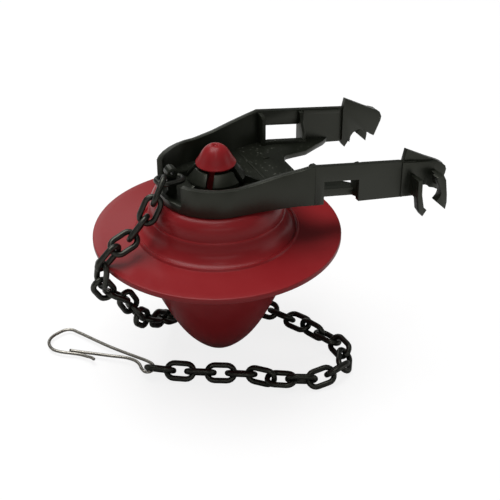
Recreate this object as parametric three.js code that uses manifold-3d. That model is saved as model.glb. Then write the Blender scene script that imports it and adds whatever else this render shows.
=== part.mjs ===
// Toilet flapper: rubber seal in a moulded hinge frame, with a plastic chain and a wire hook.
// Millimetres, +Z up. Built round the seal's axis, then shifted so that the origin is on the hinge axis.
import * as THREE from "three";
import Module from "manifold-3d";

const wasm = await Module();
wasm.setup();

// Hinge axis, measured from the seal's axis and the top plane of the brim's edge
const HINGE_X = 64.6;
const HINGE_Z = 10.2;
const PEG_RADIUS = 3;
const PEG_CLEARANCE = 0.2;

// Rubber seal
const BRIM_RADIUS = 41.5;
const BRIM_THICKNESS = 1.8;
const RIDGE_RADIUS = 27;
const RIDGE_HEIGHT = 2.6;
const SHOULDER_RADIUS = 18.2;
const SHOULDER_TOP = 15.4;
const STEM_RADIUS = 3.6;
const KNOB_RADIUS = 6.6;
const KNOB_BASE = 25;
const KNOB_HEIGHT = 7.3;
const DIMPLE_RADIUS = 1.2;
const DIMPLE_DEPTH = 0.8;
const BULB_RADIUS = 24.2;
const BULB_DEPTH = 47;
const RUBBER_WALL = 2.2;
const BLEED_RADIUS = 3;
const SEAL_SEGMENTS = 36;

// Moulded frame
const WALL = 1.8;
const FLOOR = 1.6;
const SEAT_GAP = 0.3;
const FLOOR_BOTTOM = SHOULDER_TOP + SEAT_GAP;
const FLOOR_KNEE = 27.8;
const FLOOR_SLOPE = 0.17;
const WALL_KNEE = SHOULDER_RADIUS + 0.6;
const BOWL_RADIUS = 19.5;
const BOWL_TOP = 25.1;
const ARM_OUTER = 22.8;
const ARM_START = 24.6;
const ARM_TOP = 29.1;
const ARM_TOP_SLOPE = 0.17;
const ARM_BOTTOM = 15.2;
const ARM_BOTTOM_SLOPE = 0.145;
const ARM_END = 61.5;
const WALL_END = ARM_START + 1.8;
const LAP = 0.4;
const BAR_INNER = 17.4;
const BAR_WIDTH = 2;
const BAR_HEIGHT = 1.1;
const THROAT_X = 27.3;
const THROAT_HALF = 9;
const FLANGE_END = 52;
const STRIP_HEIGHT = 5.5;
const WINDOW_START = 27.8;
const WINDOW_END = 40.5;
const WEB = 1.3;
const PETALS = 5;
const PETAL_GAP = 2.3;
const PETAL_TURN = -127;
const PETAL_OUTER = 9.5;
const PETAL_BEND = 6;
const PETAL_DROP = 4.9;
const PETAL_THICKNESS = 1.6;
const KNOB_CLEARANCE = 0.5;
const RIB_OUTER = 14.5;
const RIB_WIDTH = 1.2;
const STEM_HOLE = STEM_RADIUS + 0.6;
const NOTCH_HALF_ANGLE = 32;
const NOTCH_LIP = 2.6;
const POST_X = -15.6;
const POST_TOP = 27.5;
const POST_WIDTH = 3;
const POST_THICKNESS = 1.5;
const HEAD_RADIUS = 1.9;
const HEAD_HOLE = 0.8;
const HEAD_THICKNESS = 3.2;
const EAR_INNER = 20;
const EAR_STEP = 0.4;
const NOTCH_EASE = 0.7;
const PRONG_INNER = 25.8;
const PRONG_OUTER = 28.6;

// Chain and hook
const LINK_LENGTH = 11.2;
const LINK_WIDTH = 7;
const LINK_WIRE = 2;
const LINK_COUNT = 37;
const FIRST_LINK_HEIGHT = POST_TOP - 4.7;
const FIRST_LINK_SHIFT = 0.7;
const LINK_CLEARANCE = 0.25;
const LINK_BEND = (LINK_WIDTH - LINK_WIRE) / 2;
const LINK_PITCH = LINK_LENGTH - 2 * LINK_WIRE - LINK_CLEARANCE;
const HOOK_WIRE = 1.1;
const GROUND = -BULB_DEPTH - 0.2;

const rubberRed = new THREE.MeshStandardMaterial({ color: 0x8a2226, roughness: 0.55, metalness: 0 });
const framePlastic = new THREE.MeshStandardMaterial({ color: 0x2e302c, roughness: 0.5, metalness: 0 });
const chainPlastic = new THREE.MeshStandardMaterial({ color: 0x11120f, roughness: 0.4, metalness: 0 });
const hookSteel = new THREE.MeshStandardMaterial({ color: 0x8d8a82, roughness: 0.3, metalness: 1 });

// Turns a three.js geometry into a solid that can be joined and cut.
function solid(geometry) {
  const flat = geometry.index ? geometry.toNonIndexed() : geometry;
  const places = flat.getAttribute("position").array;
  const mesh = new wasm.Mesh({
    numProp: 3,
    vertProperties: Float32Array.from(places),
    triVerts: Uint32Array.from(places.keys()).slice(0, places.length / 3),
  });
  mesh.merge();
  return new wasm.Manifold(mesh);
}

// Turns a solid back into a geometry for a mesh.
function geometryOf(body) {
  const mesh = body.getMesh();
  const geometry = new THREE.BufferGeometry();
  geometry.setAttribute("position", new THREE.BufferAttribute(Float32Array.from(mesh.vertProperties), 3));
  geometry.setIndex(new THREE.BufferAttribute(Uint32Array.from(mesh.triVerts), 1));
  geometry.computeVertexNormals();
  return geometry;
}

// Extrudes an outline drawn in X and Z along Y, between the two given Y values.
function sidePlate(outline, fromY, toY) {
  const shape = new THREE.Shape(outline.map(([x, z]) => new THREE.Vector2(x, z)));
  const geometry = new THREE.ExtrudeGeometry(shape, { depth: toY - fromY, bevelEnabled: false });
  geometry.rotateX(Math.PI / 2);
  geometry.translate(0, toY, 0);
  return solid(geometry);
}

// Extrudes an outline drawn in X and Y upwards, between the two given heights.
function flatPlate(outline, fromZ, toZ) {
  const shape = new THREE.Shape(outline.map(([x, y]) => new THREE.Vector2(x, y)));
  const geometry = new THREE.ExtrudeGeometry(shape, { depth: toZ - fromZ, bevelEnabled: false });
  geometry.translate(0, 0, fromZ);
  return solid(geometry);
}

// Extrudes an outline drawn in Y and Z along X, between the two given X values.
function crossPlate(outline, fromX, toX) {
  const shape = new THREE.Shape(outline.map(([y, z]) => new THREE.Vector2(y, z)));
  const geometry = new THREE.ExtrudeGeometry(shape, { depth: toX - fromX, bevelEnabled: false });
  geometry.rotateX(Math.PI / 2);
  geometry.rotateZ(Math.PI / 2);
  geometry.translate(fromX, 0, 0);
  return solid(geometry);
}

// Turns a closed outline of radius and height round the seal's axis.
function lathed(outline, segments) {
  const points = outline.map(([r, z]) => new THREE.Vector2(r, z));
  const geometry = new THREE.LatheGeometry(points, segments);
  geometry.rotateX(Math.PI / 2);
  return solid(geometry);
}

// A box given by its lowest and highest corner.
function block(low, high) {
  const size = high.map((value, i) => value - low[i]);
  const geometry = new THREE.BoxGeometry(...size);
  geometry.translate(...high.map((value, i) => (value + low[i]) / 2));
  return solid(geometry);
}

function joined(bodies) {
  return bodies.reduce((whole, body) => whole.add(body));
}

// Height of the arms' top and bottom edges, and of the floor's underside, at a distance X from the seal's axis
function armTop(x) {
  return ARM_TOP - ARM_TOP_SLOPE * (x - ARM_START);
}

function armBottom(x) {
  return ARM_BOTTOM - ARM_BOTTOM_SLOPE * (x - ARM_START);
}

function floorBottom(x) {
  return FLOOR_BOTTOM - FLOOR_SLOPE * Math.max(x - FLOOR_KNEE, 0);
}

// Half-width of the bowl's outer face at a distance X behind the seal's axis
const bowlSide = [
  [0, BOWL_RADIUS],
  [7, BOWL_RADIUS + 0.6],
  [14.5, BOWL_RADIUS + 1.6],
  [20.8, ARM_OUTER - 0.6],
  [ARM_START + 1.6, ARM_OUTER],
];

// Front half circle of the bowl in plan, from its left side round to its right, set in by the given distance
function bowlFront(inset) {
  const steps = 18;
  const arc = [];
  for (let i = 1; i < steps; i += 1) {
    const angle = Math.PI / 2 + (Math.PI * i) / steps;
    arc.push([(BOWL_RADIUS - inset) * Math.cos(angle), (BOWL_RADIUS - inset) * Math.sin(angle)]);
  }
  return arc;
}

// Plan outline of the bowl, set in from its outer face by the given distance
function bowlOutline(inset, endX) {
  const side = bowlSide.map(([x, y]) => [x, y - inset]);
  const left = side.slice().reverse();
  const right = side.map(([x, y]) => [x, -y]);
  return [[endX, ARM_OUTER - inset], ...left, ...bowlFront(inset), ...right, [endX, inset - ARM_OUTER]];
}

// Side view of the bowl: its rim climbs to the arms and its underside drops with them.
const bowlProfile = [
  [-BOWL_RADIUS - 1, FLOOR_BOTTOM],
  [WALL_KNEE, FLOOR_BOTTOM],
  [WALL_END, armBottom(WALL_END)],
  [WALL_END, armTop(WALL_END)],
  [ARM_START, ARM_TOP],
  [20.8, ARM_TOP - 0.6],
  [14.5, ARM_TOP - 1.5],
  [7, BOWL_TOP + 1],
  [0, BOWL_TOP],
  [-BOWL_RADIUS - 1, BOWL_TOP],
];

// Bowl wall, open at the back and notched down to a low lip at the front, where the chain hangs out
function bowlWall() {
  const spare = 5;
  const outer = flatPlate(bowlOutline(0, WALL_END), FLOOR_BOTTOM - spare, ARM_TOP + spare);
  const inner = flatPlate(bowlOutline(WALL, WALL_END + spare), FLOOR_BOTTOM - 2 * spare, ARM_TOP + 2 * spare);
  const limits = sidePlate(bowlProfile, -ARM_OUTER - spare, ARM_OUTER + spare);
  const beyond = BOWL_RADIUS + spare;
  const spread = beyond * Math.tan((NOTCH_HALF_ANGLE * Math.PI) / 180);
  const notch = flatPlate(
    [[0, 0], [-beyond, spread], [-beyond, -spread]],
    FLOOR_BOTTOM + NOTCH_LIP,
    ARM_TOP,
  );
  return outer.subtract(inner).intersect(limits).subtract(notch);
}

// Floor of the bowl, with flanges that run out along the arms on both sides of the throat
function bowlFloor() {
  const edge = [
    [THROAT_X, 0],
    [THROAT_X, THROAT_HALF - 4],
    [THROAT_X + 0.7, THROAT_HALF - 2.1],
    [THROAT_X + 2.2, THROAT_HALF - 0.6],
    [THROAT_X + 5, THROAT_HALF + 0.3],
    [THROAT_X + 11, THROAT_HALF + 2],
    [THROAT_X + 17.5, THROAT_HALF + 6.4],
    [THROAT_X + 21.5, THROAT_HALF + 9],
    [FLANGE_END, ARM_OUTER - WALL],
    [FLANGE_END, ARM_OUTER - LAP],
    [WINDOW_END + 1, ARM_OUTER - LAP],
    [WINDOW_END - 0.6, BAR_INNER + BAR_WIDTH],
    [WINDOW_START, BAR_INNER + BAR_WIDTH],
    [ARM_START + 1.4, ARM_OUTER - 2 * LAP],
    ...bowlSide.slice(0, 4).reverse().map(([x, y]) => [x, y - 2 * LAP]),
  ];
  const mirror = edge.slice(1).reverse().map(([x, y]) => [x, -y]);
  const plan = flatPlate([...edge, ...bowlFront(2 * LAP), ...mirror], floorBottom(ARM_END) - 1, ARM_TOP);
  const stations = [-BOWL_RADIUS, FLOOR_KNEE, ARM_END];
  const slab = [
    ...stations.map((x) => [x, floorBottom(x)]),
    ...stations.reverse().map((x) => [x, floorBottom(x) + FLOOR]),
  ];
  const sheet = sidePlate(slab, -ARM_OUTER, ARM_OUTER);
  const ridge = block([15.4, -17, FLOOR_BOTTOM + LAP], [16.6, 17, FLOOR_BOTTOM + FLOOR + 0.3]);
  const mark = block([21.4, 8.6, FLOOR_BOTTOM + LAP], [23.4, 9.8, FLOOR_BOTTOM + FLOOR + 0.3]);
  const hole = lathed(
    [[0, FLOOR_BOTTOM - 5], [STEM_HOLE, FLOOR_BOTTOM - 5], [STEM_HOLE, ARM_TOP], [0, ARM_TOP]],
    24,
  );
  return joined([plan.intersect(sheet), ridge, mark]).subtract(hole);
}

// Crown of sprung petals that the knob is pushed through, each petal carried by one radial rib
function crown() {
  const top = KNOB_BASE - KNOB_CLEARANCE;
  const foot = KNOB_BASE - PETAL_DROP;
  const lip = 1.5;
  let petals = lathed(
    [
      [STEM_HOLE, top],
      [STEM_HOLE, top - PETAL_THICKNESS],
      [PETAL_BEND, top - PETAL_THICKNESS - 0.2],
      [PETAL_OUTER - lip, foot],
      [PETAL_OUTER, foot],
      [PETAL_OUTER, foot + 1],
      [PETAL_BEND + 0.9, top - 0.2],
      [STEM_HOLE, top],
    ],
    40,
  );
  const ribs = [];
  for (let i = 0; i < PETALS; i += 1) {
    const gapTurn = PETAL_TURN + (i * 360) / PETALS;
    const gap = flatPlate(
      onRadius(
        [
          [0, -PETAL_GAP / 2],
          [PETAL_OUTER + 2, -PETAL_GAP / 2],
          [PETAL_OUTER + 2, PETAL_GAP / 2],
          [0, PETAL_GAP / 2],
        ],
        gapTurn,
      ),
      FLOOR_BOTTOM,
      KNOB_BASE + 1,
    );
    petals = petals.subtract(gap);
    const ribTurn = gapTurn + 180 / PETALS;
    const inner = STEM_HOLE + 1.8;
    const strip = [
      [inner, -RIB_WIDTH / 2],
      [RIB_OUTER, -RIB_WIDTH / 2],
      [RIB_OUTER, RIB_WIDTH / 2],
      [inner, RIB_WIDTH / 2],
    ];
    const upright = flatPlate(onRadius(strip, ribTurn), FLOOR_BOTTOM + FLOOR / 2, top);
    ribs.push(upright);
  }
  const underPetals = lathed(
    [
      [0, FLOOR_BOTTOM],
      [RIB_OUTER + 1, FLOOR_BOTTOM],
      [RIB_OUTER + 1, FLOOR_BOTTOM + FLOOR + 0.1],
      [PETAL_OUTER - 0.4, foot + 0.4],
      [PETAL_OUTER - lip, foot + 1.3],
      [STEM_HOLE + 1, top - PETAL_THICKNESS + 0.2],
      [0, top - PETAL_THICKNESS + 0.2],
    ],
    40,
  );
  return petals.add(joined(ribs).intersect(underPetals));
}

// Plan points turned about the seal's axis by the given angle in degrees
function onRadius(points, degrees) {
  const angle = (degrees * Math.PI) / 180;
  return points.map(([x, y]) => [
    x * Math.cos(angle) - y * Math.sin(angle),
    x * Math.sin(angle) + y * Math.cos(angle),
  ]);
}

// Post at the front of the bowl that the first link is put over, with a thicker round head to keep it there
function chainPost() {
  const circle = (radius) => {
    const steps = 12;
    const points = [];
    for (let i = 0; i < steps; i += 1) {
      const angle = (2 * Math.PI * i) / steps;
      points.push([POST_X + radius * Math.cos(angle), POST_TOP - HEAD_RADIUS + radius * Math.sin(angle)]);
    }
    return points;
  };
  const front = POST_X - POST_WIDTH / 2;
  const back = POST_X + POST_WIDTH / 2;
  const outline = [
    [front, FLOOR_BOTTOM + NOTCH_LIP + 1],
    [WALL / 2 - BOWL_RADIUS, FLOOR_BOTTOM + NOTCH_LIP - LAP],
    [WALL / 2 - BOWL_RADIUS, FLOOR_BOTTOM + LAP],
    [back, FLOOR_BOTTOM + LAP],
    [back, POST_TOP - HEAD_RADIUS],
    [front, POST_TOP - HEAD_RADIUS],
  ];
  const plate = sidePlate(outline, -POST_THICKNESS / 2, POST_THICKNESS / 2);
  const head = sidePlate(circle(HEAD_RADIUS), -HEAD_THICKNESS / 2, HEAD_THICKNESS / 2);
  return plate.add(head).subtract(sidePlate(circle(HEAD_HOLE), -HEAD_THICKNESS, HEAD_THICKNESS));
}

// One arm: an outer wall whose lower half steps inboard between two webs, so that the mould needs no side core
function armPieces(side) {
  const wallOutline = [
    [ARM_START, armTop(ARM_START)],
    [ARM_START, armBottom(ARM_START)],
    [WINDOW_START, armBottom(WINDOW_START)],
    [WINDOW_START, armTop(WINDOW_START) - STRIP_HEIGHT],
    [WINDOW_END, armTop(WINDOW_END) - STRIP_HEIGHT],
    [WINDOW_END, armBottom(WINDOW_END)],
    [ARM_END, armBottom(ARM_END)],
    [ARM_END, armTop(ARM_END)],
  ];
  const wall = sidePlate(wallOutline, ...between(side, ARM_OUTER - WALL, ARM_OUTER));
  const barStart = ARM_START + LAP;
  const barEnd = WINDOW_END + WEB;
  const barTop = (x) => floorBottom(x) + FLOOR + BAR_HEIGHT;
  const bar = sidePlate(
    [
      [barStart, floorBottom(barStart) + LAP],
      [FLOOR_KNEE, floorBottom(FLOOR_KNEE) + LAP],
      [barEnd, floorBottom(barEnd) + LAP],
      [barEnd, barTop(barEnd)],
      [FLOOR_KNEE, barTop(FLOOR_KNEE)],
      [barStart, barTop(barStart)],
    ],
    ...between(side, BAR_INNER, BAR_INNER + BAR_WIDTH),
  );
  const firstX = ARM_START + 0.2;
  const firstTop = armTop(firstX + WEB) - 0.2;
  const firstWeb = crossPlate(
    [
      [side * BAR_INNER, floorBottom(firstX) + LAP],
      [side * (ARM_OUTER - LAP), floorBottom(firstX) + LAP],
      [side * (ARM_OUTER - LAP), firstTop],
      [side * (BAR_INNER + 1), firstTop - 0.5],
      [side * BAR_INNER, firstTop - 1.5],
    ],
    firstX,
    firstX + WEB,
  );
  const secondX = WINDOW_END - 0.2;
  const secondTop = armTop(secondX + WEB) - 0.2;
  const secondWeb = crossPlate(
    [
      [side * (BAR_INNER + 0.2), floorBottom(secondX + WEB) + LAP],
      [side * (ARM_OUTER - LAP), floorBottom(secondX + WEB) + LAP],
      [side * (ARM_OUTER - LAP), secondTop],
      [side * (BAR_INNER + 2.1), secondTop - 0.2],
      [side * (BAR_INNER + 1.7), secondTop - 4],
      [side * (BAR_INNER + 0.2), secondTop - 7],
    ],
    secondX,
    secondX + WEB,
  );
  const bandStart = WINDOW_END + WEB + 0.4;
  const bandEnd = ARM_END - 5;
  const edgeBand = sidePlate(
    [
      [bandStart, armTop(bandStart) - 0.2],
      [bandStart, armTop(bandStart) - 1.7],
      [bandEnd, armTop(bandEnd) - 1.7],
      [bandEnd, armTop(bandEnd) - 0.2],
    ],
    ...between(side, ARM_OUTER - WALL - 0.5, ARM_OUTER - LAP),
  );
  return [wall, bar, firstWeb, secondWeb, edgeBand];
}

// The two Y values of a layer that lies between two distances from the middle plane, lower one first
function between(side, inner, outer) {
  return side > 0 ? [inner, outer] : [-outer, -inner];
}

// Points given from the hinge axis, in the side view
function fromHinge(points) {
  return points.map(([x, z]) => [HINGE_X + x, HINGE_Z + z]);
}

// Upper edge of the peg notch, from its back round to its front, widened by the given amount
function notchEdge(ease) {
  const radius = PEG_RADIUS + PEG_CLEARANCE + ease;
  const steps = 8;
  const arc = [];
  for (let i = 0; i <= steps; i += 1) {
    const angle = 0.55 + ((Math.PI - 0.4) * i) / steps;
    arc.push([radius * Math.cos(angle), radius * Math.sin(angle)]);
  }
  return [...arc, [-radius - 0.4, 0.8]];
}

// One hinge ear: a tilted inner plate with the peg notch, an outer layer, and two outboard snap prongs
function earPieces(side) {
  const lowerEnd = [
    [8.9, 7.2],
    [8.6, 5.6],
    [6.1, 0],
    [4.4, 1.1],
  ];
  const innerPlate = sidePlate(
    [
      [HINGE_X - 7, 23.2],
      [HINGE_X - 6.1, 27.2],
      ...fromHinge([[1.8, 12.6], [6.4, 10.2], [8.1, 9.1], ...lowerEnd, ...notchEdge(NOTCH_EASE)]),
      [HINGE_X - 7, armBottom(HINGE_X - 7) + 0.3],
    ],
    ...between(side, EAR_INNER, ARM_OUTER - WALL + 0.8),
  );
  const layerStart = HINGE_X - 8.2;
  const outerLayer = sidePlate(
    [
      [layerStart, armBottom(layerStart) + 0.1],
      [layerStart, armTop(layerStart) - 0.2],
      ...fromHinge([[5, 10.8], [7, 9.9], [8.4, 8.6], ...lowerEnd, ...notchEdge(0)]),
    ],
    ...between(side, ARM_OUTER - WALL + 0.2, ARM_OUTER + EAR_STEP),
  );
  const firstProng = sidePlate(
    fromHinge([
      [-5.1, 8.4],
      [-4.9, 2],
      [-4.2, -3],
      [-2.6, -5.5],
      [-1.1, -3.4],
      [-2.3, -2.1],
      [-3.3, 2.8],
      [-3.5, 8.4],
    ]),
    ...between(side, PRONG_INNER, PRONG_OUTER),
  );
  const firstBridge = block(
    [HINGE_X - 5, side > 0 ? ARM_OUTER - LAP : -PRONG_INNER - 0.8, HINGE_Z + 1.4],
    [HINGE_X - 3.6, side > 0 ? PRONG_INNER + 0.8 : LAP - ARM_OUTER, HINGE_Z + 8.2],
  );
  const secondProng = sidePlate(
    fromHinge([
      [2, 8],
      [4.6, 8.4],
      [5.6, 6.4],
      [6.4, 0.8],
      [6.6, -2.2],
      [6.2, -4.9],
      [2.4, -1.1],
      [3.7, 0.3],
      [4.2, 1.8],
      [3.4, 4.4],
      [2.2, 6.8],
    ]),
    ...between(side, PRONG_INNER, PRONG_OUTER),
  );
  const secondBridge = sidePlate(
    fromHinge([
      [4.4, 8.2],
      [5.4, 6.2],
      [5.8, 2.8],
      [4.6, 2.8],
      [3.8, 4.8],
      [3, 7.9],
    ]),
    ...between(side, ARM_OUTER - LAP, PRONG_INNER + 0.8),
  );
  return [innerPlate, outerLayer, firstProng, firstBridge, secondProng, secondBridge];
}

function frameGeometry() {
  const sides = [1, -1].flatMap((side) => [...armPieces(side), ...earPieces(side)]);
  return geometryOf(joined([bowlWall(), bowlFloor(), crown(), chainPost(), ...sides]));
}

// Point on the knob's outline, at shares of its radius and of its height above its flat base
function onKnob(across, up) {
  return [KNOB_RADIUS * across, KNOB_BASE + KNOB_HEIGHT * up];
}

// Point on the cone between shoulder and ridge, at shares of the way across and of the way down, set in from it
function onCone(across, down, inset = 0) {
  const radius = SHOULDER_RADIUS + (RIDGE_RADIUS - SHOULDER_RADIUS) * across;
  return [radius - inset, SHOULDER_TOP - (SHOULDER_TOP - RIDGE_HEIGHT) * down];
}

// Point on the bulb at shares of its radius and depth, set in from it along a slope given in degrees
function onBulb(across, down, slope, inset = 0) {
  const lean = (slope * Math.PI) / 180;
  return [BULB_RADIUS * across - inset * Math.cos(lean), inset * Math.sin(lean) - BULB_DEPTH * down];
}

// Rubber seal: one closed outline, hollow below and open at the bleed hole
function sealGeometry() {
  const dimpleFloor = KNOB_BASE + KNOB_HEIGHT - DIMPLE_DEPTH;
  const ceiling = SHOULDER_TOP - RUBBER_WALL;
  const brimTop = BRIM_THICKNESS / 6;
  const bulbStations = [
    [0.99, 0.234, 6],
    [0.921, 0.396, 16],
    [0.806, 0.545, 22],
    [0.636, 0.723, 27],
    [0.488, 0.843, 38],
    [0.322, 0.936, 54],
    [0.207, 0.983, 66],
  ];
  const outline = [
    [0, dimpleFloor],
    [DIMPLE_RADIUS, dimpleFloor],
    [DIMPLE_RADIUS * 1.3, dimpleFloor + DIMPLE_DEPTH * 0.9],
    onKnob(0.39, 0.96),
    onKnob(0.6, 0.81),
    onKnob(0.77, 0.56),
    onKnob(0.91, 0.26),
    onKnob(1, 0.11),
    onKnob(0.98, 0.03),
    onKnob(0.89, 0),
    [STEM_RADIUS, KNOB_BASE],
    [STEM_RADIUS, SHOULDER_TOP],
    [SHOULDER_RADIUS - 1.4, SHOULDER_TOP],
    onCone(0, 0.055),
    onCone(0.25, 0.297),
    onCone(0.432, 0.547),
    onCone(0.534, 0.797),
    onCone(0.682, 0.93),
    [RIDGE_RADIUS - 1.2, RIDGE_HEIGHT + 0.2],
    [RIDGE_RADIUS, RIDGE_HEIGHT - 0.2],
    [(RIDGE_RADIUS + BRIM_RADIUS) / 2, (RIDGE_HEIGHT + brimTop) / 2 - 0.3],
    [BRIM_RADIUS - 0.5, brimTop],
    [BRIM_RADIUS, 0],
    [BRIM_RADIUS, 0.6 - BRIM_THICKNESS],
    [BRIM_RADIUS - 0.6, -BRIM_THICKNESS],
    [BULB_RADIUS + 1, -BRIM_THICKNESS],
    [BULB_RADIUS, -BRIM_THICKNESS - 1.2],
    ...bulbStations.map((station) => onBulb(...station)),
    [BLEED_RADIUS, -BULB_DEPTH],
    [BLEED_RADIUS, RUBBER_WALL - BULB_DEPTH],
    ...bulbStations.slice(0, -1).reverse().map((station) => onBulb(...station, RUBBER_WALL)),
    [BULB_RADIUS - RUBBER_WALL, 0],
    onCone(0.432, 0.66, RUBBER_WALL - 0.2),
    onCone(0.25, 0.36, RUBBER_WALL - 0.2),
    [SHOULDER_RADIUS - 1.8, ceiling],
    [0, ceiling],
  ];
  return geometryOf(lathed(outline.reverse(), SEAL_SEGMENTS));
}

// An endless round-section ring along a closed row of points that lie in one plane
function ringGeometry(centres, inPlane, normal, radius, sides) {
  const places = [];
  const faces = [];
  centres.forEach((centre, i) => {
    for (let k = 0; k < sides; k += 1) {
      const angle = (2 * Math.PI * (k + 0.5)) / sides;
      const point = centre
        .clone()
        .addScaledVector(inPlane[i], radius * Math.cos(angle))
        .addScaledVector(normal, radius * Math.sin(angle));
      places.push(point.x, point.y, point.z);
    }
  });
  for (let i = 0; i < centres.length; i += 1) {
    const next = (i + 1) % centres.length;
    for (let k = 0; k < sides; k += 1) {
      const other = (k + 1) % sides;
      faces.push(i * sides + k, next * sides + k, next * sides + other);
      faces.push(i * sides + k, next * sides + other, i * sides + other);
    }
  }
  const geometry = new THREE.BufferGeometry();
  geometry.setAttribute("position", new THREE.Float32BufferAttribute(places, 3));
  geometry.setIndex(faces);
  geometry.computeVertexNormals();
  return geometry;
}

// One oval link, lying in the X and Y plane with its length along X
function linkGeometry() {
  const straight = (LINK_LENGTH - LINK_WIRE) / 2 - LINK_BEND;
  const steps = 5;
  const centres = [];
  const outwards = [];
  for (const side of [1, -1]) {
    for (let i = 0; i <= steps; i += 1) {
      const angle = (side > 0 ? -Math.PI / 2 : Math.PI / 2) + (Math.PI * i) / steps;
      const out = new THREE.Vector3(Math.cos(angle), Math.sin(angle), 0);
      centres.push(new THREE.Vector3(side * straight + LINK_BEND * out.x, LINK_BEND * out.y, 0));
      outwards.push(out);
    }
  }
  return ringGeometry(centres, outwards, new THREE.Vector3(0, 0, 1), LINK_WIRE / 2, 6);
}

// Where the chain runs: from the post over the brim, down to the ground, round behind the bulb and along the front
const REST = GROUND + 2.9;
const chainRun = new THREE.CatmullRomCurve3(
  [
    [POST_X - FIRST_LINK_SHIFT + LINK_PITCH / 2, 1.1, FIRST_LINK_HEIGHT - 0.6],
    [POST_X - FIRST_LINK_SHIFT, 0, FIRST_LINK_HEIGHT],
    [POST_X - FIRST_LINK_SHIFT - LINK_PITCH / 2, -1.1, FIRST_LINK_HEIGHT + 0.4],
    [-22, -2.2, 21.6],
    [-24.2, -4.6, 17],
    [-26.6, -5, 12.8],
    [-29.6, -5.4, 9.2],
    [-34.8, -5.8, 7.2],
    [-39.6, -6.8, 5.9],
    [-43.4, -7.6, 1.8],
    [-44.2, -7.2, -4.6],
    [-41, -5.6, -10],
    [-36.2, -4, -15],
    [-32.8, -2.4, -20.8],
    [-29.6, 0.4, -26.6],
    [-25.6, 3.8, -31.6],
    [-21.2, 7.6, -35.8],
    [-17, 11.4, -39.6],
    [-12.4, 15.4, -42.4],
    [-5.6, 18.4, REST + 0.4],
    [1.2, 19, REST],
    [8.4, 17.4, REST],
    [14.6, 14, REST],
    [19.6, 10, REST],
    [24, 3.4, REST],
    [28.5, -4.1, REST],
    [31.4, -10.8, REST],
    [34, -17.4, REST],
    [35.8, -24.4, REST],
    [34.4, -31, REST],
    [29, -35.4, REST],
    [21.8, -36.8, REST],
    [14.8, -34.8, REST],
    [8.6, -31.4, REST],
    [3.4, -26.4, REST],
    [-2, -22.9, REST],
    [-7.6, -20.1, REST],
    [-13.5, -17.1, REST],
    [-19.4, -13.6, REST],
    [-25.9, -9.4, REST],
    [-32, -5, REST],
  ].map(([x, y, z]) => new THREE.Vector3(x, y, z)),
  false,
  "centripetal",
);

// Place on the chain's run that lies the given distance from a point, further on than the last place
function onwards(from, place, distance) {
  const length = chainRun.getLength();
  let next = Math.min(place + distance / length, 1);
  for (let i = 0; i < 8; i += 1) {
    next = Math.min(next + (distance - chainRun.getPointAt(next).distanceTo(from)) / length, 1);
  }
  return next;
}

// Level direction across a link, carried on from its neighbour where the chain hangs steeply
function levelAcross(along, before) {
  if (Math.abs(along.z) > 0.75) return before.clone().addScaledVector(along, -before.dot(along)).normalize();
  const level = new THREE.Vector3(0, 0, 1).cross(along).normalize();
  return level.dot(before) < 0 ? level.negate() : level;
}

// Attitude of a link whose length runs along the given direction, rolled about it
function linkTurn(along, flat, roll) {
  const above = new THREE.Vector3().crossVectors(along, flat).normalize();
  return new THREE.Matrix4().makeBasis(along, flat, above).multiply(new THREE.Matrix4().makeRotationX(roll));
}

// Twist of the chain at chosen links, in halves of a right angle: it lies square at the post and over the brim,
// and elsewhere every link stands half a right angle over to one side or the other.
const twistPlaces = [
  [0, 0],
  [1.5, -1],
  [4, -1],
  [6.4, 0],
  [12, 0],
  [16, 1],
  [21, 1],
  [25, -1],
  [28.5, -1],
  [32.5, 1],
];

function linkRoll(index) {
  const after = twistPlaces.findIndex(([place]) => place > index);
  let twist = twistPlaces.at(-1)[1];
  if (after > 0) {
    const [fromPlace, fromTwist] = twistPlaces[after - 1];
    const [toPlace, toTwist] = twistPlaces[after];
    twist = fromTwist + ((toTwist - fromTwist) * (index - fromPlace)) / (toPlace - fromPlace);
  }
  return (twist * Math.PI) / 4 + (index % 2 ? Math.PI / 2 : 0);
}

// Round wire along a curve, closed at both ends
function wireGeometry(curve, radius, steps, sides) {
  const frames = curve.computeFrenetFrames(steps, false);
  const places = [];
  const faces = [];
  for (let i = 0; i <= steps; i += 1) {
    const centre = curve.getPointAt(i / steps);
    for (let k = 0; k < sides; k += 1) {
      const angle = (2 * Math.PI * k) / sides;
      const point = centre
        .clone()
        .addScaledVector(frames.normals[i], radius * Math.cos(angle))
        .addScaledVector(frames.binormals[i], radius * Math.sin(angle));
      places.push(point.x, point.y, point.z);
    }
  }
  for (let i = 0; i < steps; i += 1) {
    for (let k = 0; k < sides; k += 1) {
      const other = (k + 1) % sides;
      const here = i * sides;
      const next = here + sides;
      faces.push(here + k, here + other, next + other);
      faces.push(here + k, next + other, next + k);
    }
  }
  for (let k = 1; k < sides - 1; k += 1) {
    faces.push(0, k + 1, k);
    faces.push(steps * sides, steps * sides + k, steps * sides + k + 1);
  }
  const geometry = new THREE.BufferGeometry();
  geometry.setAttribute("position", new THREE.Float32BufferAttribute(places, 3));
  geometry.setIndex(faces);
  geometry.computeVertexNormals();
  return geometry;
}

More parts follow.
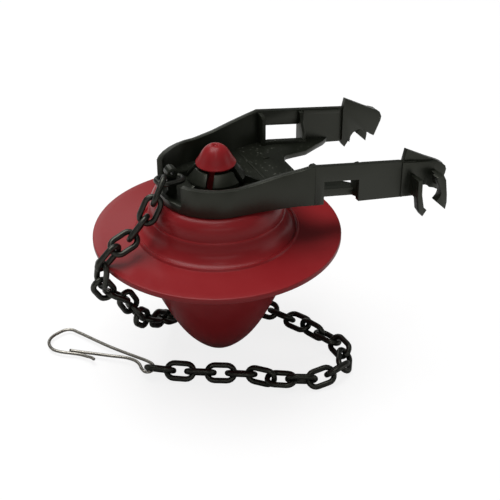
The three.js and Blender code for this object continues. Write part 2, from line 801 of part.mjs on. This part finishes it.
// Wire hook: an eye round the last link, two long sides and a sprung bend whose end catches over the lower side
const WIRE_REST = GROUND + HOOK_WIRE / 2 + 0.1;
const hookPath = new THREE.CatmullRomCurve3(
  [
    [-44.4, 7.2, WIRE_REST + 0.9],
    [-44.8, 8.9, WIRE_REST + 0.5],
    [-45.7, 10.4, WIRE_REST + 0.2],
    [-47.7, 12.9, WIRE_REST],
    [-50.2, 14.8, WIRE_REST],
    [-53.2, 17, WIRE_REST],
    [-55.3, 19.4, WIRE_REST],
    [-55.9, 21.9, WIRE_REST],
    [-55.5, 24.4, WIRE_REST],
    [-53.9, 26.6, WIRE_REST],
    [-51.1, 28.1, WIRE_REST],
    [-48, 28.8, WIRE_REST],
    [-45.9, 28, WIRE_REST],
    [-44.4, 25.8, WIRE_REST],
    [-36.9, 12.2, WIRE_REST + 0.4],
    [-31, 2.4, WIRE_REST + 1.1],
    [-28.2, -2.9, WIRE_REST + 1.8],
    [-27.5, -5.7, REST],
    [-27.9, -7.8, REST],
    [-29.6, -9.1, REST],
    [-31.2, -8.5, REST],
    [-31.7, -6.6, REST],
    [-31.4, -3.2, WIRE_REST + 1.8],
    [-31.9, -0.2, WIRE_REST + 1.4],
    [-34, 3.1, WIRE_REST + 1],
    [-38.6, 7, WIRE_REST + 0.6],
    [-43.4, 11.2, WIRE_REST + 0.2],
    [-47.2, 14.3, WIRE_REST],
    [-50.2, 16.7, WIRE_REST],
  ].map(([x, y, z]) => new THREE.Vector3(x, y, z)),
  false,
  "centripetal",
);

const flapper = new THREE.Group();
flapper.position.set(-HINGE_X, 0, -HINGE_Z);

function addMesh(name, geometry, material) {
  const mesh = new THREE.Mesh(geometry, material);
  mesh.name = name;
  flapper.add(mesh);
  return mesh;
}

addMesh("frame", frameGeometry(), framePlastic);
addMesh("seal", sealGeometry(), rubberRed);

// Offset from the start of one link's end wire back to its neighbour's: straight on where the chain is straight,
// and slid round whichever bend takes up the turn between the two directions.
function wireOffset(before, after) {
  const half = (LINK_WIRE + LINK_CLEARANCE) / 2;
  const slide = LINK_BEND - half;
  const turn = new THREE.Vector3().subVectors(after.along, before.along);
  const sharpness = 1 - after.along.dot(before.along);
  return new THREE.Vector3()
    .addVectors(before.along, after.along)
    .multiplyScalar(half + (slide * sharpness) / 2)
    .addScaledVector(before.across, -slide * turn.dot(before.across))
    .addScaledVector(after.across, slide * turn.dot(after.across));
}

const link = linkGeometry();
const halfLink = (LINK_LENGTH - LINK_WIRE) / 2;
let place = 0;
let contact = chainRun.getPointAt(0);
let before = null;
let flat = new THREE.Vector3(0, -1, 0);
for (let i = 0; i < LINK_COUNT; i += 1) {
  const next = onwards(contact, place, LINK_PITCH);
  const along = chainRun.getPointAt(next).sub(contact).normalize();
  flat = levelAcross(along, flat);
  const attitude = linkTurn(along, flat, linkRoll(i));
  const here = { along, across: new THREE.Vector3(0, 1, 0).applyMatrix4(attitude), centre: null };
  if (before) {
    const endWire = before.centre.clone().addScaledVector(before.along, halfLink);
    here.centre = endWire.sub(wireOffset(before, here)).addScaledVector(along, halfLink);
  } else {
    here.centre = contact.clone().addScaledVector(along, LINK_PITCH / 2);
  }
  const mesh = addMesh("link_" + String(i + 1).padStart(2, "0"), link.clone(), chainPlastic);
  mesh.applyMatrix4(attitude.setPosition(here.centre));
  contact = here.centre.clone().addScaledVector(along, LINK_PITCH / 2);
  place = next;
  before = here;
}

addMesh("wire_hook", wireGeometry(hookPath, HOOK_WIRE / 2, 60, 6), hookSteel);

const root = new THREE.Group();
root.name = "toilet_flapper";
root.add(flapper);

export default root;
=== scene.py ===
import math

import bmesh
import bpy
from mathutils import Matrix, Vector


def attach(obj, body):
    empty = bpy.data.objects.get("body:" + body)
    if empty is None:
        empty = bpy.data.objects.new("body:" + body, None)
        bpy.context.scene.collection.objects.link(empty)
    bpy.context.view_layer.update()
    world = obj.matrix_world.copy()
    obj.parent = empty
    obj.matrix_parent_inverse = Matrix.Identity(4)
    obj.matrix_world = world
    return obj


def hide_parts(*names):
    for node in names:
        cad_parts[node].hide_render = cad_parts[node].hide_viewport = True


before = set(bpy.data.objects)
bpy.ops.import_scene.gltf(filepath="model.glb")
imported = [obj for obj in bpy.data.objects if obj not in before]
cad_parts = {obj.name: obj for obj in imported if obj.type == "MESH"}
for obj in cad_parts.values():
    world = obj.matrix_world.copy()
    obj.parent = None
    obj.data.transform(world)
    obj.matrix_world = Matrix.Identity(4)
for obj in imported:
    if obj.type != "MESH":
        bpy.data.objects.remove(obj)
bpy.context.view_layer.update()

# The table that the flapper lies on, the camera and the lights.
# A white studio table, seen from the front left and above, as near as a catalogue picture of a small part is taken.
scene = bpy.context.scene
scene.view_settings.view_transform = "Standard"
# The seal, the hook and the camera are placed from the middle of the seal, at the level of its brim. This is the step
# from there to the middle of the hinge, where the frame has its origin.
HINGE = Vector((0.0646, 0, 0.0102))
# Just under the chain's lowest link
TABLE_HEIGHT = -0.0482 - HINGE.z
TABLE_HALF_WIDTH = 3

# The camera's place, turn and focal length are fitted to the outlines of the brim, the bulb and both arms
PICTURE_PIXELS = 500
FOCAL_PIXELS = 1196
SENSOR_MM = 36
EYE_RIGHT, EYE_UP, EYE_BACK = 0.011024, -0.006794, 0.4005
turn, tilt, roll = math.radians(-24.468), math.radians(32.818), math.radians(-0.263)
backwards = Vector((math.sin(turn) * math.cos(tilt), -math.cos(turn) * math.cos(tilt), math.sin(tilt)))
level = Vector((math.cos(turn), math.sin(turn), 0))
upright = backwards.cross(level)
eye = EYE_RIGHT * level + EYE_UP * upright + EYE_BACK * backwards - HINGE
across = math.cos(roll) * level + math.sin(roll) * upright
above = -math.sin(roll) * level + math.cos(roll) * upright
lens = bpy.data.cameras.new("camera")
lens.sensor_width = SENSOR_MM
lens.lens = SENSOR_MM * FOCAL_PIXELS / PICTURE_PIXELS
lens.shift_x = -0.2 / PICTURE_PIXELS
lens.shift_y = -1.0 / PICTURE_PIXELS
lens.clip_start = 0.01
camera = bpy.data.objects.new("camera", lens)
camera.matrix_world = Matrix(
    [[across[i], above[i], backwards[i], eye[i]] for i in range(3)] + [[0, 0, 0, 1]]
)
scene.collection.objects.link(camera)
scene.camera = camera

table_mesh = bpy.data.meshes.new("table")
table_shape = bmesh.new()
bmesh.ops.create_grid(table_shape, x_segments=2, y_segments=2, size=TABLE_HALF_WIDTH)
table_shape.to_mesh(table_mesh)
table_shape.free()
table = bpy.data.objects.new("table", table_mesh)
table.location = (0, 0, TABLE_HEIGHT)
scene.collection.objects.link(table)


def linear(code):
    """Linear colour of an sRGB hex value."""
    parts = [int(code[i : i + 2], 16) / 255 for i in (1, 3, 5)]
    return tuple(v / 12.92 if v <= 0.04045 else ((v + 0.055) / 1.055) ** 2.4 for v in parts) + (1.0,)


def add_node(tree, kind, settings, inputs):
    """Adds one node, sets it, and links or fills its inputs."""
    made = tree.nodes.new(kind)
    for name, value in settings.items():
        setattr(made, name, value)
    for name, value in inputs.items():
        socket = made.inputs[name]
        if isinstance(value, bpy.types.NodeSocket):
            tree.links.new(value, socket)
        else:
            socket.default_value = value
    return made


# White paper on a light table. Seen straight on it is nearly white, and it keeps the flapper's soft shadow.
white_table = bpy.data.materials.new("white_table")
white_table.use_nodes = True
tree = white_table.node_tree
tree.nodes.clear()
ray = add_node(tree, "ShaderNodeLightPath", {}, {})
# Mirrored in the flapper, it is dark within 50 mm of the seal's axis and pale further out: painted shade, set by the
# distance from the axis, standing for where the bulb shades it
where = add_node(tree, "ShaderNodeNewGeometry", {}, {})
away = add_node(
    tree,
    "ShaderNodeVectorMath",
    {"operation": "DISTANCE"},
    {0: where.outputs["Position"], 1: (-HINGE.x, 0, TABLE_HEIGHT)},
)
open_table = add_node(
    tree,
    "ShaderNodeMapRange",
    {"interpolation_type": "SMOOTHSTEP"},
    {"Value": away.outputs["Value"], "From Min": 0.05, "From Max": 0.14, "To Min": 0.0, "To Max": 0.6},
)
mirrored = add_node(
    tree,
    "ShaderNodeMath",
    {"operation": "MULTIPLY"},
    {0: ray.outputs["Is Glossy Ray"], 1: open_table.outputs["Result"]},
)
share = add_node(
    tree,
    "ShaderNodeMath",
    {"operation": "MULTIPLY_ADD"},
    {0: ray.outputs["Is Camera Ray"], 1: 0.75, 2: mirrored.outputs[0]},
)
# It looks white but throws only part of the light back up, as the dark underside of the bulb shows
tint = add_node(
    tree, "ShaderNodeMapRange", {}, {"Value": ray.outputs["Is Camera Ray"], "To Min": 0.45, "To Max": 0.9}
)
paper = add_node(tree, "ShaderNodeBsdfDiffuse", {}, {"Color": tint.outputs["Result"]})
glow = add_node(tree, "ShaderNodeEmission", {}, {"Color": linear("#ffffff"), "Strength": 1.1})
both = add_node(tree, "ShaderNodeMixShader", {}, {0: share.outputs[0], 1: paper.outputs[0], 2: glow.outputs[0]})
add_node(tree, "ShaderNodeOutputMaterial", {}, {"Surface": both.outputs[0]})
table_mesh.materials.append(white_table)

# The room is white to the eye and dim to the flapper
world = bpy.data.worlds.new("studio")
world.use_nodes = True
scene.world = world
tree = world.node_tree
tree.nodes.clear()
ray = add_node(tree, "ShaderNodeLightPath", {}, {})
seen = add_node(
    tree,
    "ShaderNodeMath",
    {"operation": "MAXIMUM"},
    {0: ray.outputs["Is Camera Ray"], 1: ray.outputs["Is Transmission Ray"]},
)
dim = add_node(tree, "ShaderNodeBackground", {}, {"Color": linear("#ffffff"), "Strength": 0.12})
full = add_node(tree, "ShaderNodeBackground", {}, {"Color": linear("#ffffff"), "Strength": 1.0})
both = add_node(tree, "ShaderNodeMixShader", {}, {0: seen.outputs[0], 1: dim.outputs[0], 2: full.outputs[0]})
add_node(tree, "ShaderNodeOutputWorld", {}, {"Surface": both.outputs[0]})

# A large softbox overhead, a weak one behind for the sheen, one at each side, and a low strip and a small lamp in front
LAMP_AIM = Vector((-0.04, 0, -0.02))
for name, place, width, height, power in (
    ("top_softbox", (-0.16, 0.14, 0.9), 0.75, 0.75, 8.0),
    ("back_softbox", (-0.02, 0.92, 0.46), 0.35, 0.35, 0.7),
    ("left_softbox", (-0.9, 0.3, 0.15), 0.5, 0.5, 0.35),
    ("right_softbox", (0.85, -0.5, 0.15), 0.5, 0.5, 0.7),
    ("front_strip", (-0.42, -0.95, 0.34), 1.1, 0.05, 1.0),
    ("front_lamp", (-0.3, -0.6, 0.75), 0.06, 0.06, 0.35),
):
    lamp = bpy.data.lights.new(name, "AREA")
    lamp.shape = "RECTANGLE"
    lamp.size = width
    lamp.size_y = height
    lamp.energy = power
    holder = bpy.data.objects.new(name, lamp)
    holder.location = place
    holder.rotation_euler = (LAMP_AIM - Vector(place)).to_track_quat("-Z", "Y").to_euler()
    scene.collection.objects.link(holder)

# Frame: one moulding of black polypropylene, with the bowl, the petal crown, the chain's post, two arms and their ears.
# It clips over two pegs of the overflow tube by its open ears.
# Its thin edges are slightly rounded by the mould, and they catch the light as pale lines.
EDGE_ROUND = 0.00022
EDGE_ANGLE = math.radians(28)
SAME_POINT = 2e-6
FLAT_ANGLE = math.radians(0.4)

# Moulded polypropylene: near black with an olive cast, silky, slightly mottled by the flow of the melt
frame_plastic = bpy.data.materials.new("moulded_black_polypropylene")
frame_plastic.use_nodes = True
tree = frame_plastic.node_tree
skin = tree.nodes["Principled BSDF"]
where = add_node(tree, "ShaderNodeTexCoord", {}, {})
# Flow marks about 12 mm apart
flow = add_node(
    tree, "ShaderNodeTexNoise", {}, {"Vector": where.outputs["Object"], "Scale": 80.0, "Detail": 3.0, "Roughness": 0.55}
)
tone = add_node(tree, "ShaderNodeValToRGB", {}, {"Fac": flow.outputs["Fac"]})
tone.color_ramp.elements[0].position = 0.3
tone.color_ramp.elements[0].color = linear("#0f120c")
tone.color_ramp.elements[1].position = 0.75
tone.color_ramp.elements[1].color = linear("#171a13")
# Pale dust specks about 0.5 mm across and 1.4 mm apart, in patches, a little coarser than real so that they show
specks = add_node(
    tree, "ShaderNodeTexVoronoi", {"feature": "F1"}, {"Vector": where.outputs["Object"], "Scale": 700.0}
)
speck = add_node(
    tree,
    "ShaderNodeMapRange",
    {},
    {"Value": specks.outputs["Distance"], "From Min": 0.12, "From Max": 0.24, "To Min": 1.0, "To Max": 0.0},
)
patches = add_node(
    tree, "ShaderNodeMapRange", {}, {"Value": flow.outputs["Fac"], "From Min": 0.46, "From Max": 0.6}
)
dusty = add_node(
    tree,
    "ShaderNodeMath",
    {"operation": "MULTIPLY"},
    {0: speck.outputs["Result"], 1: patches.outputs["Result"]},
)
# The dust lies only on faces that look up, below the rim
facing = add_node(tree, "ShaderNodeNewGeometry", {}, {})
upward = add_node(tree, "ShaderNodeSeparateXYZ", {}, {0: facing.outputs["Normal"]})
place = add_node(tree, "ShaderNodeSeparateXYZ", {}, {0: where.outputs["Object"]})
level_face = add_node(tree, "ShaderNodeMath", {"operation": "GREATER_THAN"}, {0: upward.outputs["Z"], 1: 0.9})
low_down = add_node(tree, "ShaderNodeMath", {"operation": "LESS_THAN"}, {0: place.outputs["Z"], 1: 0.0095})
on_floor = add_node(
    tree, "ShaderNodeMath", {"operation": "MULTIPLY"}, {0: level_face.outputs[0], 1: low_down.outputs[0]}
)
dust = add_node(tree, "ShaderNodeMath", {"operation": "MULTIPLY"}, {0: dusty.outputs[0], 1: on_floor.outputs[0]})
with_dust = add_node(
    tree, "ShaderNodeMix", {"data_type": "RGBA"}, {0: dust.outputs[0], 6: tone.outputs["Color"], 7: linear("#5b5c55")}
)
tree.links.new(with_dust.outputs[2], skin.inputs["Base Color"])
gloss = add_node(
    tree, "ShaderNodeMapRange", {}, {"Value": flow.outputs["Fac"], "To Min": 0.3, "To Max": 0.44}
)
tree.links.new(gloss.outputs["Result"], skin.inputs["Roughness"])
# Spark-eroded mould texture, 0.35 mm across, drawn a little coarser than real so that it shows
grain = add_node(
    tree, "ShaderNodeTexNoise", {}, {"Vector": where.outputs["Object"], "Scale": 2800.0, "Detail": 2.0}
)
relief = add_node(
    tree, "ShaderNodeBump", {}, {"Height": grain.outputs["Fac"], "Strength": 0.25, "Distance": 0.00004}
)
tree.links.new(relief.outputs["Normal"], skin.inputs["Normal"])
skin.inputs["IOR"].default_value = 1.49
skin.inputs["Specular Tint"].default_value = linear("#fdffed")


def show(name, made, material, node):
    """Links a finished shape as a piece that stands for the given node, and returns it."""
    mesh = bpy.data.meshes.new(name)
    made.to_mesh(mesh)
    made.free()
    mesh.materials.append(material)
    piece = bpy.data.objects.new(name, mesh)
    scene.collection.objects.link(piece)
    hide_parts(node)
    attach(piece, "root")
    return piece


# The solid's own shape, with its flat faces joined up, so that the rounding meets real edges only
shape = bmesh.new()
shape.from_mesh(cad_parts["frame"].data)
bmesh.ops.remove_doubles(shape, verts=shape.verts, dist=SAME_POINT)
bmesh.ops.dissolve_limit(
    shape, angle_limit=FLAT_ANGLE, use_dissolve_boundaries=False, verts=shape.verts, edges=shape.edges
)
for face in shape.faces:
    face.smooth = True
frame_piece = show("moulded_frame", shape, frame_plastic, "frame")
rounded = frame_piece.modifiers.new("rounded_edges", "BEVEL")
rounded.width = EDGE_ROUND
rounded.segments = 2
rounded.limit_method = "ANGLE"
rounded.angle_limit = EDGE_ANGLE
rounded.harden_normals = True

# Seal: one moulding of red rubber, turned in form, with the knob, stem, shoulder, flat brim and hollow bulb.
# The knob is pulled through the crown, and its flared underside holds the seal in the frame.
# Each run below is a smooth stretch of its outline, as radius and height, and the runs meet in edges.
SEAL_RUNS_MM = [
    [(0, 31.1), (0.5, 31.15), (0.8, 31.5), (1.1, 31.7), (2.1, 31.5), (3.6, 30.4), (4.8, 28.7), (5.7, 27), (6.4, 25.9)],
    [(6.4, 25.9), (6.6, 25.6), (6.5, 25.2), (5.9, 25)],
    [(5.9, 25), (3.6, 25)],
    [(3.6, 25), (3.6, 15.4)],
    [(3.6, 15.4), (17.4, 15.4)],
    [(17.4, 15.4), (18.9, 15.3), (20.3, 14.7), (21.4, 13.4), (22, 11.9), (22.35, 10.2), (22.5, 8.5)],
    [(22.5, 8.5), (22.75, 8.2), (22.95, 6.8), (23.2, 5.4), (23.7, 3.9), (24.6, 2.5), (25.4, 1.75), (26.2, 1.35)],
    [(26.2, 1.35), (26.5, 1.75), (27, 1.8), (27.5, 1)],
    [(27.5, 1), (34, 0.6), (41, 0.3)],
    [(41, 0.3), (41.35, 0.2), (41.5, -0.1)],
    [(41.5, -0.1), (41.5, -1.2)],
    [(41.5, -1.2), (41.35, -1.6), (40.9, -1.8)],
    [(40.9, -1.8), (25.2, -1.8)],
    [(25.2, -1.8), (24.5, -2.2), (24.2, -3), (24, -11), (22.3, -18.6), (19.5, -25.6), (15.4, -34), (11.8, -39.6),
     (7.8, -44), (5, -46.2), (3, -47)],
    [(3, -47), (3, -44.6)],
    [(3, -44.6), (6.6, -42.2), (10.2, -38.2), (13.4, -33.2), (17.4, -25), (20.2, -18), (21.8, -10.6), (22, 0),
     (20.6, 5.6), (18.4, 10.6), (16.4, 13.2)],
    [(16.4, 13.2), (0, 13.2)],
]
RUN_STEPS = 3
SEAL_TURNS = 128
ON_AXIS_MM = 1e-6
SHARP_EDGE = math.radians(35)


def smooth_run(points, steps):
    """Points on a centripetal curve through the given 2-D or 3-D points, from first to last."""
    given = [Vector(p) for p in points]
    if len(given) == 2:
        return given
    ends = [2 * given[0] - given[1]] + given + [2 * given[-1] - given[-2]]
    made = []
    for a, b, c, d in zip(ends, ends[1:], ends[2:], ends[3:]):
        t0 = 0.0
        t1 = t0 + math.sqrt((b - a).length)
        t2 = t1 + math.sqrt((c - b).length)
        t3 = t2 + math.sqrt((d - c).length)
        for k in range(steps):
            t = t1 + (t2 - t1) * k / steps
            a1 = a * ((t1 - t) / (t1 - t0)) + b * ((t - t0) / (t1 - t0))
            a2 = b * ((t2 - t) / (t2 - t1)) + c * ((t - t1) / (t2 - t1))
            a3 = c * ((t3 - t) / (t3 - t2)) + d * ((t - t2) / (t3 - t2))
            b1 = a1 * ((t2 - t) / (t2 - t0)) + a2 * ((t - t0) / (t2 - t0))
            b2 = a2 * ((t3 - t) / (t3 - t1)) + a3 * ((t - t1) / (t3 - t1))
            made.append(b1 * ((t2 - t) / (t2 - t1)) + b2 * ((t - t1) / (t2 - t1)))
    return made + [given[-1]]


profile = []
for run in SEAL_RUNS_MM:
    points = smooth_run(run, RUN_STEPS)
    profile += points[1:] if profile else points
shape = bmesh.new()
rings = []
for radius, height in profile:
    ring = []
    for k in range(SEAL_TURNS if radius > ON_AXIS_MM else 1):
        angle = 2 * math.pi * k / SEAL_TURNS
        ring.append(
            shape.verts.new(
                (
                    radius / 1000 * math.cos(angle) - HINGE.x,
                    radius / 1000 * math.sin(angle),
                    height / 1000 - HINGE.z,
                )
            )
        )
    rings.append(ring)
for first, second in zip(rings, rings[1:]):
    for k in range(SEAL_TURNS):
        after = (k + 1) % SEAL_TURNS
        corners = [
            first[k % len(first)],
            second[k % len(second)],
            second[after % len(second)],
            first[after % len(first)],
        ]
        # On the axis two corners are one, and the face is a triangle
        face = shape.faces.new([c for i, c in enumerate(corners) if c not in corners[:i]])
        face.smooth = True
bmesh.ops.recalc_face_normals(shape, faces=shape.faces)
for edge in shape.edges:
    edge.smooth = edge.calc_face_angle(0) <= SHARP_EDGE

# Moulded rubber: deep red with a satin skin, paler where the mould left a fine bloom, no mirror highlights
rubber = bpy.data.materials.new("moulded_red_rubber")
rubber.use_nodes = True
tree = rubber.node_tree
skin = tree.nodes["Principled BSDF"]
where = add_node(tree, "ShaderNodeTexCoord", {}, {})
# Bloom in patches about 15 mm across
bloom = add_node(
    tree, "ShaderNodeTexNoise", {}, {"Vector": where.outputs["Object"], "Scale": 65.0, "Detail": 4.0, "Roughness": 0.6}
)
tone = add_node(tree, "ShaderNodeValToRGB", {}, {"Fac": bloom.outputs["Fac"]})
tone.color_ramp.elements[0].position = 0.3
tone.color_ramp.elements[0].color = linear("#8c2024")
tone.color_ramp.elements[1].position = 0.75
tone.color_ramp.elements[1].color = linear("#922629")
tree.links.new(tone.outputs["Color"], skin.inputs["Base Color"])
gloss = add_node(
    tree, "ShaderNodeMapRange", {}, {"Value": bloom.outputs["Fac"], "To Min": 0.26, "To Max": 0.36}
)
tree.links.new(gloss.outputs["Result"], skin.inputs["Roughness"])
# Fine moulded grain, 0.5 mm across
grain = add_node(
    tree, "ShaderNodeTexNoise", {}, {"Vector": where.outputs["Object"], "Scale": 2000.0, "Detail": 2.0}
)
relief = add_node(
    tree, "ShaderNodeBump", {}, {"Height": grain.outputs["Fac"], "Strength": 0.2, "Distance": 0.00003}
)
tree.links.new(relief.outputs["Normal"], skin.inputs["Normal"])
skin.inputs["IOR"].default_value = 1.52
skin.inputs["Specular IOR Level"].default_value = 0.22
show("rubber_seal", shape, rubber, "seal")

# Chain: 37 oval links of black nylon, moulded one into the next.
# Each link's place is read from its solid: its length, its width and its flat side are the solid's own main directions.
# Its section is round where the solid's has six flats, so it is a little longer, wider and thinner, to stay clear.
LINK_LENGTH = 0.0113
LINK_WIDTH = 0.0072
LINK_WIRE = 0.00194
BEND_STEPS = 10
LINK_SIDES = 12
SETTLING_ROUNDS = 60

# Moulded nylon: black, glossier than the frame, with a faint grey scuff where the links rub
chain_nylon = bpy.data.materials.new("moulded_black_nylon")
chain_nylon.use_nodes = True
tree = chain_nylon.node_tree
skin = tree.nodes["Principled BSDF"]
where = add_node(tree, "ShaderNodeTexCoord", {}, {})
# Scuffs about 2 mm across
scuff = add_node(
    tree, "ShaderNodeTexNoise", {}, {"Vector": where.outputs["Object"], "Scale": 500.0, "Detail": 3.0, "Roughness": 0.6}
)
tone = add_node(tree, "ShaderNodeValToRGB", {}, {"Fac": scuff.outputs["Fac"]})
tone.color_ramp.elements[0].position = 0.4
tone.color_ramp.elements[0].color = linear("#0c0d0c")
tone.color_ramp.elements[1].position = 0.8
tone.color_ramp.elements[1].color = linear("#1b1c1a")
tree.links.new(tone.outputs["Color"], skin.inputs["Base Color"])
gloss = add_node(
    tree, "ShaderNodeMapRange", {}, {"Value": scuff.outputs["Fac"], "To Min": 0.26, "To Max": 0.44}
)
tree.links.new(gloss.outputs["Result"], skin.inputs["Roughness"])
relief = add_node(
    tree, "ShaderNodeBump", {}, {"Height": scuff.outputs["Fac"], "Strength": 0.15, "Distance": 0.00005}
)
tree.links.new(relief.outputs["Normal"], skin.inputs["Normal"])
skin.inputs["IOR"].default_value = 1.53
skin.inputs["Specular Tint"].default_value = linear("#fdffed")


def link_shape(place):
    """A closed oval ring of round wire, laid in place by the given matrix."""
    bend = (LINK_WIDTH - LINK_WIRE) / 2
    straight = (LINK_LENGTH - LINK_WIRE) / 2 - bend
    made = bmesh.new()
    loops = []
    for side in (1, -1):
        for i in range(BEND_STEPS + 1):
            angle = -side * math.pi / 2 + math.pi * i / BEND_STEPS
            out = Vector((math.cos(angle), math.sin(angle), 0))
            centre = Vector((side * straight, 0, 0)) + bend * out
            loop = []
            for k in range(LINK_SIDES):
                round_wire = 2 * math.pi * k / LINK_SIDES
                outward = math.cos(round_wire) * out + math.sin(round_wire) * Vector((0, 0, 1))
                loop.append(made.verts.new(place @ (centre + LINK_WIRE / 2 * outward)))
            loops.append(loop)
    for i, loop in enumerate(loops):
        after = loops[(i + 1) % len(loops)]
        for k in range(LINK_SIDES):
            other = (k + 1) % LINK_SIDES
            face = made.faces.new([loop[k], after[k], after[other], loop[other]])
            face.smooth = True
    bmesh.ops.recalc_face_normals(made, faces=made.faces)
    return made


def main_directions(spread):
    """The longest and the widest direction of a spread matrix, square to each other, by repeated multiplication."""
    longest = Vector((1, 0.3, 0.2))
    for _ in range(SETTLING_ROUNDS):
        longest = (spread @ longest).normalized()
    length = longest.dot(spread @ longest)
    flat = spread - length * Matrix([[longest[i] * longest[j] for j in range(3)] for i in range(3)])
    widest = longest.orthogonal()
    for _ in range(SETTLING_ROUNDS):
        widest = flat @ widest
        widest = (widest - widest.dot(longest) * longest).normalized()
    return longest, widest


for name in sorted(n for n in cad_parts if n.startswith("link_")):
    corners = [v.co.copy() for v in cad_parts[name].data.vertices]
    middle = sum(corners, Vector()) / len(corners)
    spread = Matrix([[sum((c - middle)[i] * (c - middle)[j] for c in corners) for j in range(3)] for i in range(3)])
    longest, widest = main_directions(spread)
    normal = longest.cross(widest)
    place = Matrix(
        [[longest[i], widest[i], normal[i], middle[i]] for i in range(3)] + [[0, 0, 0, 1]]
    )
    show("chain_" + name, link_shape(place), chain_nylon, name)

# Hook: one length of 1.1 mm stainless wire, bent to a small eye on the last link, two long sides and a sprung bend.
# Its free end lies over the lower side, so that it opens like a safety pin and catches the lever's arm.
HOOK_WIRE = 0.0011
HOOK_STEPS = 5
HOOK_SIDES = 12
# Heights in mm: the tip of the bulb, the wire lying at that level, and the eye, which the last link holds up
GROUND = -47.2
WIRE_REST = GROUND + 0.65
EYE_REST = GROUND + 2.9
HOOK_POINTS_MM = [
    (-44.4, 7.2, WIRE_REST + 0.9),
    (-44.8, 8.9, WIRE_REST + 0.5),
    (-45.7, 10.4, WIRE_REST + 0.2),
    (-47.7, 12.9, WIRE_REST),
    (-50.2, 14.8, WIRE_REST),
    (-53.2, 17, WIRE_REST),
    (-55.3, 19.4, WIRE_REST),
    (-55.9, 21.9, WIRE_REST),
    (-55.5, 24.4, WIRE_REST),
    (-53.9, 26.6, WIRE_REST),
    (-51.1, 28.1, WIRE_REST),
    (-48, 28.8, WIRE_REST),
    (-45.9, 28, WIRE_REST),
    (-44.4, 25.8, WIRE_REST),
    (-36.9, 12.2, WIRE_REST + 0.4),
    (-31, 2.4, WIRE_REST + 1.1),
    (-28.2, -2.9, WIRE_REST + 1.8),
    (-27.5, -5.7, EYE_REST),
    (-27.9, -7.8, EYE_REST),
    (-29.6, -9.1, EYE_REST),
    (-31.2, -8.5, EYE_REST),
    (-31.7, -6.6, EYE_REST),
    (-31.4, -3.2, WIRE_REST + 1.8),
    (-31.9, -0.2, WIRE_REST + 1.4),
    (-34, 3.1, WIRE_REST + 1),
    (-38.6, 7, WIRE_REST + 0.6),
    (-43.4, 11.2, WIRE_REST + 0.2),
    (-47.2, 14.3, WIRE_REST),
    (-50.2, 16.7, WIRE_REST),
]
line = [Vector(p) / 1000 - HINGE for p in smooth_run(HOOK_POINTS_MM, HOOK_STEPS)]
shape = bmesh.new()
loops = []
beside = None
for i, centre in enumerate(line):
    ahead = (line[min(i + 1, len(line) - 1)] - line[max(i - 1, 0)]).normalized()
    # Each ring is turned as little as it can be from the one before, so the wire doesn't twist
    beside = ahead.orthogonal() if beside is None else beside - beside.dot(ahead) * ahead
    beside.normalize()
    over = ahead.cross(beside)
    loop = []
    for k in range(HOOK_SIDES):
        angle = 2 * math.pi * k / HOOK_SIDES
        loop.append(shape.verts.new(centre + HOOK_WIRE / 2 * (math.cos(angle) * beside + math.sin(angle) * over)))
    loops.append(loop)
for loop, after in zip(loops, loops[1:]):
    for k in range(HOOK_SIDES):
        other = (k + 1) % HOOK_SIDES
        face = shape.faces.new([loop[k], loop[other], after[other], after[k]])
        face.smooth = True
# Both ends are cut square and stay flat
shape.faces.new(loops[0][::-1])
shape.faces.new(loops[-1])
bmesh.ops.recalc_face_normals(shape, faces=shape.faces)

# Drawn stainless wire: bright grey with fine lines along its length, a little dull
hook_wire = bpy.data.materials.new("drawn_stainless_wire")
hook_wire.use_nodes = True
tree = hook_wire.node_tree
skin = tree.nodes["Principled BSDF"]
where = add_node(tree, "ShaderNodeTexCoord", {}, {})
# Drawing marks 0.3 mm apart
marks = add_node(
    tree, "ShaderNodeTexNoise", {}, {"Vector": where.outputs["Object"], "Scale": 3300.0, "Detail": 2.0}
)
tone = add_node(tree, "ShaderNodeValToRGB", {}, {"Fac": marks.outputs["Fac"]})
tone.color_ramp.elements[0].position = 0.3
tone.color_ramp.elements[0].color = linear("#85827a")
tone.color_ramp.elements[1].position = 0.7
tone.color_ramp.elements[1].color = linear("#b3afa6")
tree.links.new(tone.outputs["Color"], skin.inputs["Base Color"])
gloss = add_node(
    tree, "ShaderNodeMapRange", {}, {"Value": marks.outputs["Fac"], "To Min": 0.22, "To Max": 0.38}
)
tree.links.new(gloss.outputs["Result"], skin.inputs["Roughness"])
relief = add_node(
    tree, "ShaderNodeBump", {}, {"Height": marks.outputs["Fac"], "Strength": 0.1, "Distance": 0.00002}
)
tree.links.new(relief.outputs["Normal"], skin.inputs["Normal"])
skin.inputs["Metallic"].default_value = 1.0
show("steel_hook", shape, hook_wire, "wire_hook")
